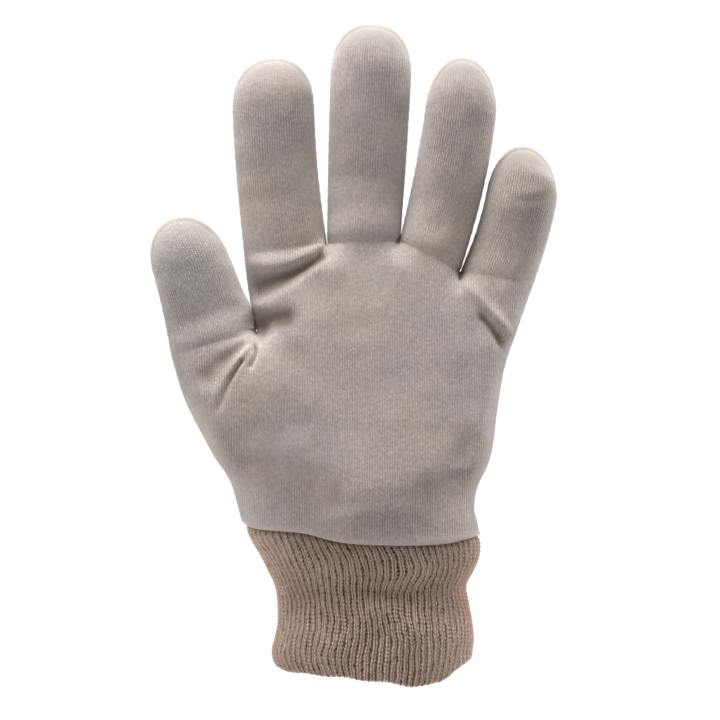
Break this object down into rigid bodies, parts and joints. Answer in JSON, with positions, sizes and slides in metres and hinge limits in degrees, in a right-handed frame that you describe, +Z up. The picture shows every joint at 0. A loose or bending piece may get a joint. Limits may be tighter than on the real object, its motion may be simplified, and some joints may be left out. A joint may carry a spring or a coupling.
{
  "type": "cotton work glove",
  "caption": "Left-hand knitted cotton work glove in its worn form, hollow, with a ribbed knit cuff under the hem of the hand.",
  "frame": {"origin": "centre of the wrist opening, level with the lowest point of the cuff's rim", "axes": "+Z up the hand towards the fingertips, -Y out of the palm, +X towards the little finger, -X towards the thumb"},
  "size_m": [0.1527, 0.051, 0.2487],
  "materials": {
    "cotton_knit": "unbleached interlock cotton, fine ribs, matte with a soft nap",
    "rib_knit": "coarser unbleached rib knit, matte"
  },
  "bodies": {
    "root": {"palm_panel": "cotton_knit", "back_panel": "cotton_knit", "knit_cuff": "rib_knit"}
  },
  "joints": []
}
